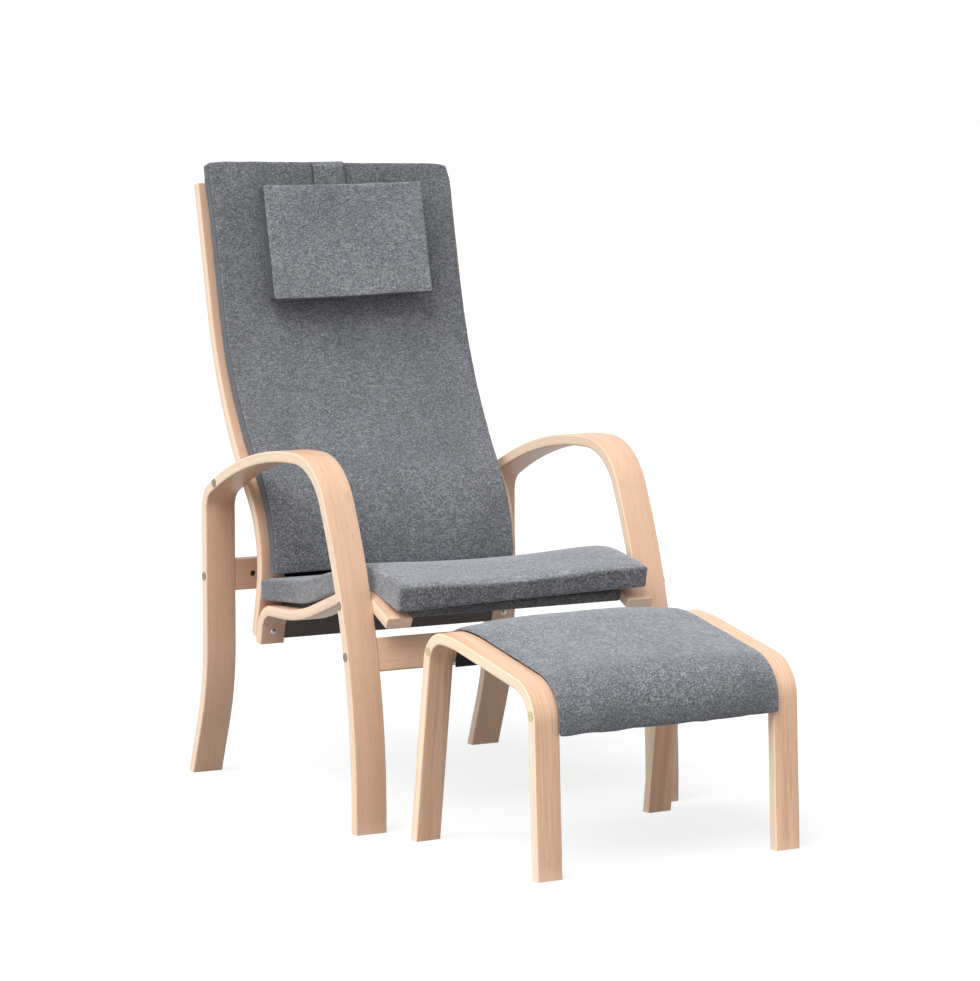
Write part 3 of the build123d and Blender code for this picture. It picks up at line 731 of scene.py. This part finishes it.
def padded_box(width, length, low, high, cell, round_off, centre_x=0):
    """A flat closed pad of even cells with rounded edges."""
    across = max(2, round(width / cell))
    down = max(2, round(length / cell))
    deep = max(2, round((high - low) / cell))
    mesh = bmesh.new()
    size = Matrix.Diagonal((width, length, 1, 1))
    place = Matrix.Translation((centre_x, length / 2, high)) @ size
    bmesh.ops.create_grid(mesh, x_segments=across, y_segments=down, size=0.5, matrix=place)
    faces = mesh.faces[:]
    for _ in range(deep):
        lower = bmesh.ops.extrude_face_region(mesh, geom=faces)["geom"]
        faces = [f for f in lower if isinstance(f, bmesh.types.BMFace)]
        moved = [v for v in lower if isinstance(v, bmesh.types.BMVert)]
        bmesh.ops.translate(mesh, verts=moved, vec=(0, 0, (low - high) / deep))
    inside = mesh.faces.layers.int.new("inside")
    skin = (high - low) / deep / 2
    for face in mesh.faces:
        within = all(low + skin < vert.co.z < high - skin for vert in face.verts)
        face[inside] = within and abs(face.normal.z) > 0.5
    inner_low = Vector((centre_x - width / 2, 0, low)) + Vector((round_off,) * 3)
    inner_high = Vector((centre_x + width / 2, length, high)) - Vector((round_off,) * 3)
    for vert in mesh.verts:
        inner = Vector(min(max(c, a), b) for c, a, b in zip(vert.co, inner_low, inner_high))
        out = vert.co - inner
        if out.length > 0:
            vert.co = inner + out.normalized() * round_off
    bmesh.ops.recalc_face_normals(mesh, faces=mesh.faces)
    return mesh


def drop_layers(mesh):
    """Delete the layers that a pad keeps inside it from being extruded."""
    inside = mesh.faces.layers.int["inside"]
    bmesh.ops.delete(mesh, geom=[face for face in mesh.faces if face[inside]], context="FACES")
    bmesh.ops.recalc_face_normals(mesh, faces=mesh.faces)


def inflate(mesh, cap, low, high, crown):
    """Blow a flat closed pad up as cloth, with a soft limit on how far it stands out past its low face."""
    mesh.normal_update()
    slack = [1 - broad_calm * abs(vert.normal.z) for vert in mesh.verts]
    data = bpy.data.meshes.new("inflating")
    mesh.to_mesh(data)
    data.transform(to_metres)
    pad = add_object("inflating", data)
    cloth = pad.modifiers.new("Cloth", "CLOTH")
    settings = cloth.settings
    settings.quality = 5
    settings.use_pressure = True
    settings.uniform_pressure_force = cover_pressure
    settings.tension_stiffness = 18
    settings.compression_stiffness = 18
    settings.shear_stiffness = 8
    settings.bending_stiffness = 1.5
    settings.effector_weights.gravity = 0
    cloth.collision_settings.use_collision = False
    cloth.collision_settings.use_self_collision = False
    cloth.point_cache.frame_start = 1
    cloth.point_cache.frame_end = cover_frames
    scene = bpy.context.scene
    for number in range(1, cover_frames + 1):
        scene.frame_set(number)
    blown = pad.evaluated_get(bpy.context.evaluated_depsgraph_get()).data
    mesh.verts.ensure_lookup_table()
    for vert, end, free in zip(mesh.verts, blown.vertices, slack):
        move = end.co / MM - vert.co
        if move.length > cap:
            move *= cap / move.length
        vert.co += Vector((move.x * free, move.y * free, move.z))
        over = low - vert.co.z
        if over > 0:
            vert.co.z = low - crown * (1 - exp(-over / crown))
        vert.co.z = min(vert.co.z, high)
    scene.frame_set(1)
    bpy.data.objects.remove(pad)
    bpy.data.meshes.remove(data)


def ripple(mesh, depth, cell, seed, top_only=None):
    """Move points in and out along their normals by soft noise, as slack cloth lies."""
    mesh.normal_update()
    offset = Vector((seed * 17.3, seed * 5.1, seed * 2.7))
    moves = []
    for vert in mesh.verts:
        spot = vert.co / cell + offset
        level = noise.noise(spot) + 0.5 * noise.noise(spot * 2.3)
        keep = 1.0 if top_only is None else max(0.0, vert.normal.z * top_only)
        moves.append(vert.normal * (level * depth * keep))
    for vert, move in zip(mesh.verts, moves):
        vert.co += move


def pucker(mesh, depth, cell, seed):
    """Draw the cloth in here and there along its seams, where broad faces meet the sides."""
    mesh.normal_update()
    moves = []
    for vert in mesh.verts:
        slant = max(0.0, 1 - abs(abs(vert.normal.z) - 0.5) / 0.45)
        spot = Vector((vert.co.x / cell + seed * 3.7, vert.co.y / cell, vert.co.z / (3 * cell)))
        moves.append(vert.normal * (depth * slant * noise.noise(spot)))
    for vert, move in zip(mesh.verts, moves):
        vert.co += move


def crownward(vert, low, high):
    """How far a point lies towards a pad's crown: 0 at its base and 1 at its low face."""
    return min(1.0, max(0.0, (high - vert.co.z) / (high - low)))


def spread_rim(mesh, width, centre_x, low, high, spread):
    """Let the crown's left rim stand out."""
    for vert in mesh.verts:
        outer = max(0.0, centre_x - vert.co.x - width / 2 + rim_width) / rim_width
        vert.co.x -= outer * crownward(vert, low, high) * spread


def pull(mesh, low, high, place, reach, move, sink=(0, 0)):
    """Pull a cover towards one side round a place, and sink its face and its base there."""
    for vert in mesh.verts:
        near = max(0.0, 1 - hypot((vert.co.x - place[0]) / reach[0], (vert.co.y - place[1]) / reach[1]))
        near *= near * (3 - 2 * near)
        down = sink[1] + (sink[0] - sink[1]) * crownward(vert, low, high)
        vert.co += Vector((*move, down)) * near


def cushion(name, course, width, levels, crown, cell, cap, cloth, body, node, seed, centre_x, rim, pulls):
    """A boxed foam cushion, its crown towards -Z: blown up as cloth, rippled, pulled and laid."""
    low, high = levels
    length = span_of(course)
    mesh = padded_box(width + 2 * cover_gain, length, low, high, cell, cover_round, centre_x)
    for vert in mesh.verts:
        vert.co.y = (vert.co.y / length - 0.5) * (length + 2 * end_gain) + length / 2
    inflate(mesh, cap, low, high, crown)
    pucker(mesh, 0.9, 15.0, seed)
    ripple(mesh, 0.9, 60.0, seed, -1)
    ripple(mesh, 0.35, 17.0, seed + 3)
    bmesh.ops.smooth_vert(
        mesh, verts=mesh.verts, factor=0.5, use_axis_x=True, use_axis_y=True, use_axis_z=True
    )
    for vert in mesh.verts:
        vert.co.z = min(max(vert.co.z, low - crown), high)
    drop_layers(mesh)
    keep_flat(mesh)
    spread_rim(mesh, width, centre_x, low, high, rim)
    for row in pulls:
        pull(mesh, low, high, *row)
    lay(mesh, course, chair_place)
    piece = new_piece(name, mesh, cloth, body, "fabric", node)
    piece.data.shade_smooth()
    add_subdivision(piece)
    return piece


def add_subdivision(piece):
    """A subdivision surface that shows as it renders."""
    modifier = piece.modifiers.new("Subdivision", "SUBSURF")
    modifier.levels = 1
    modifier.render_levels = 1


def cloth_strip(name, course, low_x, high_x, half, place, material, body, node, rows=40.0):
    """A sheet of cloth with a little thickness, laid along a course."""
    mesh = flat_box((low_x, 0, -half), (high_x, span_of(course), half))
    long_edges = [e for e in mesh.edges if abs(e.verts[0].co.y - e.verts[1].co.y) > 1]
    bevel(mesh, long_edges, half * 0.8, 2)
    cut_across(mesh, bend_stations(course, 8.0, 12.0))
    count = max(1, round((high_x - low_x) / rows))
    for index in range(1, count):
        cut(mesh, (low_x + (high_x - low_x) * index / count, 0, 0), (1, 0, 0))
    keep_flat(mesh)
    lay(mesh, course, place)
    piece = new_piece(name, mesh, material, body, "fabric", *([node] if node else []))
    shade(piece, 50)
    return piece


class CHAIR_OT_stage(bpy.types.Operator):
    """Set up the floor, the light and the camera."""

    bl_idname = "chair.stage"
    bl_label = "Stage"

    def execute(self, context):
        looks = context.scene.chair_stage
        scene = context.scene
        mesh = bmesh.new()
        bmesh.ops.create_grid(mesh, x_segments=1, y_segments=1, size=30)
        data = bpy.data.meshes.new("floor")
        mesh.to_mesh(data)
        mesh.free()
        floor = add_object("floor", data)
        graph = Graph("floor_white")
        graph.finish(
            Base_Color=(0.30, 0.30, 0.30, 1),
            Roughness=1.0,
            Specular_IOR_Level=0.0,
            Emission_Color=(1, 1, 1, 1),
            Emission_Strength=graph.times(seen_rays(graph.tree), 0.75),
        )
        data.materials.append(graph.material)

        world = bpy.data.worlds.new("studio")
        scene.world = world
        world.use_nodes = True
        tree = world.node_tree
        light = tree.nodes["Background"]
        light.inputs["Color"].default_value = (1, 1, 1, 1)
        level = tree.nodes.new("ShaderNodeMapRange")
        level.inputs["To Min"].default_value = looks.sky
        level.inputs["To Max"].default_value = 1.0
        tree.links.new(seen_rays(tree), level.inputs["Value"])
        tree.links.new(level.outputs[0], light.inputs["Strength"])

        lamps = (
            ("key", (-2.8, -1.5, 4.6), 45, looks.key),
            ("side", (-4.0, -0.6, 1.4), 50, looks.side),
            ("fill", (3.2, -2.4, 2.2), 60, looks.fill),
        )
        for name, spot, spread, strength in lamps:
            lamp = bpy.data.lights.new(name, "SUN")
            lamp.angle = radians(spread)
            lamp.energy = strength
            holder = add_object(name, lamp)
            holder.location = spot
            holder.rotation_euler = (-Vector(spot)).to_track_quat("-Z", "Y").to_euler()

        camera = bpy.data.cameras.new("camera")
        camera.sensor_fit = "HORIZONTAL"
        camera.sensor_width = 36.0
        camera.lens = looks.lens
        camera.clip_end = 100
        eye = add_object("camera", camera)
        eye.location = Vector(camera_place) + Vector((0, shift * MM, 0))
        eye.rotation_euler = (radians(90) + camera_tilt, 0, camera_turn)
        scene.camera = eye
        scene.view_settings.view_transform = "Standard"
        return {"FINISHED"}


class CHAIR_OT_frames(bpy.types.Operator):
    """Bend the arm frames, uprights, seat rails and footstool frames from laminated strips."""

    bl_idname = "chair.frames"
    bl_label = "Bent frames"

    def execute(self, context):
        looks = context.scene.chair_wood
        on_chair = (chair_place, laminated_wood(looks, "laminated_wood", 0.75), "chair")
        on_stool = (stool_place, laminated_wood(looks, "stool_wood", 2.3, 1.15), "stool")
        outer = -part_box("arm_frame_left")[0].x / MM
        inner = outer - arm_width
        between = inner - strip_width
        stool_outer = stool_width / 2
        stool_inner = stool_outer - stool_strip_width
        strips = (
            ("arm_frame", arm_course, inner, outer, arm_thickness, on_chair, 0),
            ("back_upright", upright_course, between, inner, strip_thickness, on_chair, tip_chamfer),
            ("seat_rail", rail_course, between, inner, strip_thickness, on_chair, 0),
            ("stool_frame", stool_course, stool_inner, stool_outer, stool_thickness, on_stool, 0),
        )
        for name, course, near, far, thickness, carrier, tip in strips:
            for side, low, high in (("left", -far, -near), ("right", near, far)):
                node = f"{name}_{side}"
                bent_strip(f"{node}_bent", course, low, high, thickness / 2, *carrier, node, tip)
        return {"FINISHED"}


class CHAIR_OT_boards(bpy.types.Operator):
    """Finish the straight boards, bars and slats."""

    bl_idname = "chair.boards"
    bl_label = "Boards"

    def execute(self, context):
        wood = board_wood(context.scene.chair_wood)
        dark = dark_board()
        for node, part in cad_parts.items():
            if node == "seat_rear_panel":
                paint(node, dark)
            elif any(word in node for word in ("slat", "bar", "cross_rail", "pins")):
                paint(node, wood)
        return {"FINISHED"}


class CHAIR_OT_fittings(bpy.types.Operator):
    """Finish the bolts, sleeves and cross dowels."""

    bl_idname = "chair.fittings"
    bl_label = "Fittings"

    def execute(self, context):
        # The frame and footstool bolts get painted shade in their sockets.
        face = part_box("frame_bolts")[1].x - SOCKET_RIM
        steel = plated_metal("dull_steel", (0.07, 0.06, 0.05), 0.45)
        headed = plated_metal("bolt_steel", (0.30, 0.27, 0.20), 0.28, socket_shade_from=face)
        bright = plated_metal("bright_steel", (0.40, 0.41, 0.43), 0.30)
        stool_face = stool_width / 2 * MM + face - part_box("arm_frame_right")[1].x
        start = stool_place @ Vector((0, 0, 0))
        axis = (stool_place @ Vector((1, 0, 0)) - start).normalized()
        brassed = plated_metal("brassed_steel", (0.70, 0.62, 0.38), 0.24, start, axis, stool_face)
        metals = {"frame_bolts": headed, "seat_bolts": bright, "stool_bolts": brassed}
        metals |= dict.fromkeys(("cross_dowels", "bolt_sleeves", "stool_dowels"), steel)
        for node, metal in metals.items():
            paint(node, metal)
        return {"FINISHED"}


class CHAIR_OT_cushions(bpy.types.Operator):
    """Make the seat and back cushions and the head pillow."""

    bl_idname = "chair.cushions"
    bl_label = "Cushions"

    def execute(self, context):
        looks = context.scene.chair_cloth
        # Painted light: the seat's cloth is a lighter copy for its top. Painted shade: the narrow sides.
        back_cloth = heather_cloth(looks, "heather_cloth", 1.0, side_painted_shade=0.42, seam_highlight=0.03)
        seat_cloth = heather_cloth(
            looks, "seat_cloth", 1.07, side_painted_shade=0.92, weave=(260, 110, 300), pales=0.95, sheen=1.0
        )
        pillow_cloth = heather_cloth(looks, "pillow_cloth", 1.32, side_painted_shade=0.22, seam_highlight=0.03, sheen=0.35)
        cell = looks.grid / MM
        half = seat_pad_thickness / 2
        seat = cushion(
            "seat_cushion_cover", seat_pad_course, pad_width, (-half, half), seat_pad_crown, cell, cover_cap,
            seat_cloth, "chair", "seat_cushion", 1, 0, 0, seat_pulls,
        )
        rear = -strip_thickness / 2 - soft_gap
        front = rear - back_pad_thickness
        back = cushion(
            "back_cushion_cover", back_pad_course, pad_width, (front, rear), back_pad_crown, cell, cover_cap,
            back_cloth, "chair", "back_cushion", 2, back_pad_offset, 2, back_pulls,
        )
        strap_front = front - back_pad_crown - soft_gap - strap_thickness
        pillow_rear = strap_front - soft_gap
        pillow_top = ahead(*back_pad_course[:2], pillow_drop)
        pillow_course = (pillow_top, back_pad_course[1], ((pillow_height, 0),))
        pillow_levels = (pillow_rear - pillow_thickness, pillow_rear)
        pillow = cushion(
            "head_pillow_cover", pillow_course, pillow_width, pillow_levels, pillow_crown, pillow_cell,
            pillow_cap, pillow_cloth, "pillow", "head_pillow", 3, pillow_offset, 0, pillow_pulls,
        )
        return {"FINISHED"}


class CHAIR_OT_strap(bpy.types.Operator):
    """Lay the pillow's strap over the top of the back cushion."""

    bl_idname = "chair.strap"
    bl_label = "Pillow strap"

    def execute(self, context):
        hem = (strap_offset * MM, strap_width / 2 * MM)
        looks = context.scene.chair_cloth
        # Painted shade: the strap's narrow sides are near black and its hem edges darker, as a painted shadow
        # line.
        cloth = heather_cloth(looks, "strap_cloth", 1.0, side_painted_shade=0.08, seam_highlight=0.0, sheen=0.3, hem=hem)
        gap = soft_gap + strap_thickness / 2
        front = -strip_thickness / 2 - soft_gap - back_pad_thickness - back_pad_crown - gap
        rear = -strip_thickness / 2 - soft_gap + gap
        up = upright_course[1] - 180
        top = ahead(upright_course[0], up, back_pad_overhang + pad_nose + gap + strap_lift)
        start = ahead(beside(top, up + 180, front), up + 180, strap_front_run)
        bend = (strap_bend, -90)
        over = (rear - front - 2 * strap_bend, 0)
        runs = ((strap_front_run - strap_bend, 0), bend, over, bend, (strap_rear_run - strap_bend, 0))
        course = (start, up, runs)
        low = strap_offset - strap_width / 2
        strap = cloth_strip(
            "pillow_strap_cloth", course, low, low + strap_width, strap_thickness / 2,
            chair_place, cloth, "chair", "pillow_strap", 12.0,
        )
        return {"FINISHED"}


class CHAIR_OT_sling(bpy.types.Operator):
    """Stretch the seat sling from the rear panel to its sleeve round the front bar."""

    bl_idname = "chair.sling"
    bl_label = "Seat sling"

    def execute(self, context):
        cloth = heather_cloth(context.scene.chair_cloth, "sling_cloth", 0.95)
        half = sling_thickness / 2
        middle = seat_pad_thickness / 2 + soft_gap + half
        heading = seat_pad_course[1]
        start = beside(seat_pad_course[0], heading, middle)
        panel = ahead(rail_course[0], rail_heading, rail_leg_drop + rear_panel_height / 2)
        panel = beside(panel, rail_heading, rear_panel_thickness / 2 + soft_gap + half)
        back = (panel[0] - start[0], panel[1] - start[1])
        across = back[0] * sin(radians(rail_heading)) - back[1] * cos(radians(rail_heading))
        to_face = across / sin(radians(rail_heading - heading))
        turn = heading - rail_heading
        tangent = sling_tail_bend * tan(radians(turn / 2))
        corner = ahead(start, heading, to_face)
        (rear_run, _), (dip_bend, dip_turn), rise, (crest_bend, crest_turn), _ = seat_pad_course[2]
        course = (
            ahead(corner, rail_heading, -tangent - sling_tail),
            rail_heading,
            (
                (sling_tail, 0),
                (sling_tail_bend, turn),
                (rear_run - to_face - tangent, 0),
                (dip_bend + middle, dip_turn),
                rise,
                (crest_bend - middle, crest_turn),
                (sling_front_run, 0),
            ),
        )
        rail_end, bar_heading = course_end(rail_course)
        bar = beside(ahead(rail_end, bar_heading, -front_bar_setback), bar_heading, front_bar_drop)
        flat_run = sleeve_reach - sleeve_corner
        corner = (sleeve_corner, 90)
        half_turn = (corner, (2 * (sleeve_rise - sleeve_corner), 0), corner)
        round_bar = (
            beside(bar, bar_heading, -sleeve_rise),
            bar_heading,
            ((flat_run, 0), *half_turn, (2 * flat_run, 0), *half_turn, (flat_run - sleeve_gap, 0)),
        )
        half_x = sling_half_width
        sleeve = cloth_strip(
            "seat_sling_sleeve", round_bar, -half_x, half_x, half, chair_place, cloth, "chair", None, 12.0
        )
        sheet = cloth_strip(
            "seat_sling_cloth", course, -half_x, half_x, half, chair_place, cloth, "chair", "seat_sling"
        )
        return {"FINISHED"}


class CHAIR_OT_joining_shadow_cloth(bpy.types.Operator):
    """Hang the dark cloth that joins the back cushion to the seat, behind it.

    Partly a lining, it is partly a painted shadow that fills the shaded gaps there.
    """

    bl_idname = "chair.joining_cloth"
    bl_label = "Joining cloth"

    def execute(self, context):
        course = (joining_shadow_cloth_start, 90, ((joining_shadow_cloth_height, 0),))
        half_x = sling_half_width
        half = lining_thickness / 2
        cloth = cloth_strip(
            "cushion_joining_shadow_cloth", course, -half_x, half_x, half, chair_place, dark_lining(), "chair", None
        )
        return {"FINISHED"}


class CHAIR_OT_stool_pad(bpy.types.Operator):
    """Make the footstool's padded cover."""

    bl_idname = "chair.stool_pad"
    bl_label = "Footstool pad"

    def execute(self, context):
        looks = context.scene.chair_cloth
        # A lighter copy of the cloth, as painted light on the footstool's top, with painted shade on its
        # front drop.
        cloth = heather_cloth(
            looks, "stool_cloth", 1.2, side_painted_shade=1.0, start_painted_shade=0.78,
            seam_highlight=0.0, weave=(260, 160, 300), pales=0.8, sheen=0.85,
        )
        lean = sin(radians(90 - stool_front_lean))
        front_run = stool_front_straight - stool_front_z / lean
        rear_end = course_end((*stool_course[:2], stool_course[2][:5]))[0]
        rear_run = (rear_end[1] - stool_rear_z) / sin(radians(stool_rear_turn))
        course = (
            along(stool_course, stool_front_straight - front_run)[0],
            stool_course[1],
            ((front_run, 0), *stool_course[2][1:5], (rear_run, 0)),
        )
        width = stool_width - 2 * stool_strip_width - stool_play
        side = width / 2
        length = span_of(course)
        low = stool_low
        high = stool_thickness / 2 + stool_rim
        mesh = padded_box(width, length, low, high, looks.grid / MM, stool_round)
        for vert in mesh.verts:
            if vert.co.z > low + stool_round:
                share = min(1.0, (side - abs(vert.co.x)) / side)
                rise = stool_rise * (1 - (1 - share) ** stool_fullness)
                to_end = min(1.0, max(0.0, min(vert.co.y, length - vert.co.y)) / stool_end_run)
                rise *= stool_end_rise + (1 - stool_end_rise) * to_end**0.5
                vert.co.z += rise
        for vert in mesh.verts:
            near_front = max(0.0, 1 - vert.co.y / stool_wave_run)
            near_rear = max(0.0, 1 - (length - vert.co.y) / stool_wave_run)
            wave = noise.noise(Vector((vert.co.x / 42, 3.1, 0)))
            wave += 0.5 * noise.noise(Vector((vert.co.x / 17, 8.2, 0)))
            vert.co.y += stool_wave * wave * (near_front - near_rear)
            inward = min(1, (side - abs(vert.co.x)) / 12)
            vert.co.z += stool_wave * max(0.0, wave) * near_front * inward
        for vert in mesh.verts:
            rear = min(1.0, max(0.0, (vert.co.y - length + 90) / 60))
            outer = max(0.0, abs(vert.co.x) - side + stool_side_run) / stool_side_run
            left_spill = stool_left_spill + stool_rear_spill * rear
            spill = stool_right_spill if vert.co.x > 0 else left_spill
            vert.co.x += copysign(spill * outer, vert.co.x)
            vert.co.z += stool_side_rise * outer
        ripple(mesh, 0.7, 45.0, 5, 1)
        ripple(mesh, 0.35, 15.0, 6, 1)
        drop_layers(mesh)
        keep_flat(mesh)
        lay(mesh, course, stool_place)
        piece = new_piece("stool_pad_cover", mesh, cloth, "stool", "fabric", "stool_pad")
        piece.data.shade_smooth()
        add_subdivision(piece)

        under = stool_lining_depth
        runs = [(size + copysign(under, turn) if turn else size, turn) for size, turn in course[2]]
        lining_course = (beside(course[0], course[1], under), course[1], tuple(runs))
        half_x = side - stool_lining_inset
        half = lining_thickness / 2
        black = dark_lining()
        lining = cloth_strip(
            "stool_pad_lining", lining_course, -half_x, half_x, half, stool_place, black, "stool", None
        )
        return {"FINISHED"}


class CHAIR_PT_panel(bpy.types.Panel):
    """Lists the chair's operators and settings."""

    bl_idname = "CHAIR_PT_panel"
    bl_label = "Lounge chair"
    bl_space_type = "VIEW_3D"
    bl_region_type = "UI"
    bl_category = "Chair"

    def draw(self, context):
        for operator in operators:
            self.layout.operator(operator.bl_idname)
        for group in (context.scene.chair_wood, context.scene.chair_cloth, context.scene.chair_stage):
            for name in group.__annotations__:
                self.layout.prop(group, name)


groups = {"chair_wood": ChairWood, "chair_cloth": ChairCloth, "chair_stage": ChairStage}
operators = (
    CHAIR_OT_stage,
    CHAIR_OT_frames,
    CHAIR_OT_boards,
    CHAIR_OT_fittings,
    CHAIR_OT_cushions,
    CHAIR_OT_strap,
    CHAIR_OT_sling,
    CHAIR_OT_joining_shadow_cloth,
    CHAIR_OT_stool_pad,
)


def register():
    """Register the classes and the settings."""
    for kind in (*groups.values(), *operators, CHAIR_PT_panel):
        bpy.utils.register_class(kind)
    for name, group in groups.items():
        setattr(bpy.types.Scene, name, PointerProperty(type=group))


def unregister():
    """Take the settings and the classes away again."""
    for name in groups:
        delattr(bpy.types.Scene, name)
    for kind in reversed((*groups.values(), *operators, CHAIR_PT_panel)):
        bpy.utils.unregister_class(kind)


def main():
    """Make every piece."""
    register()
    for operator in operators:
        getattr(bpy.ops.chair, operator.bl_idname.split(".")[1])()


if __name__ == "__main__":
    main()
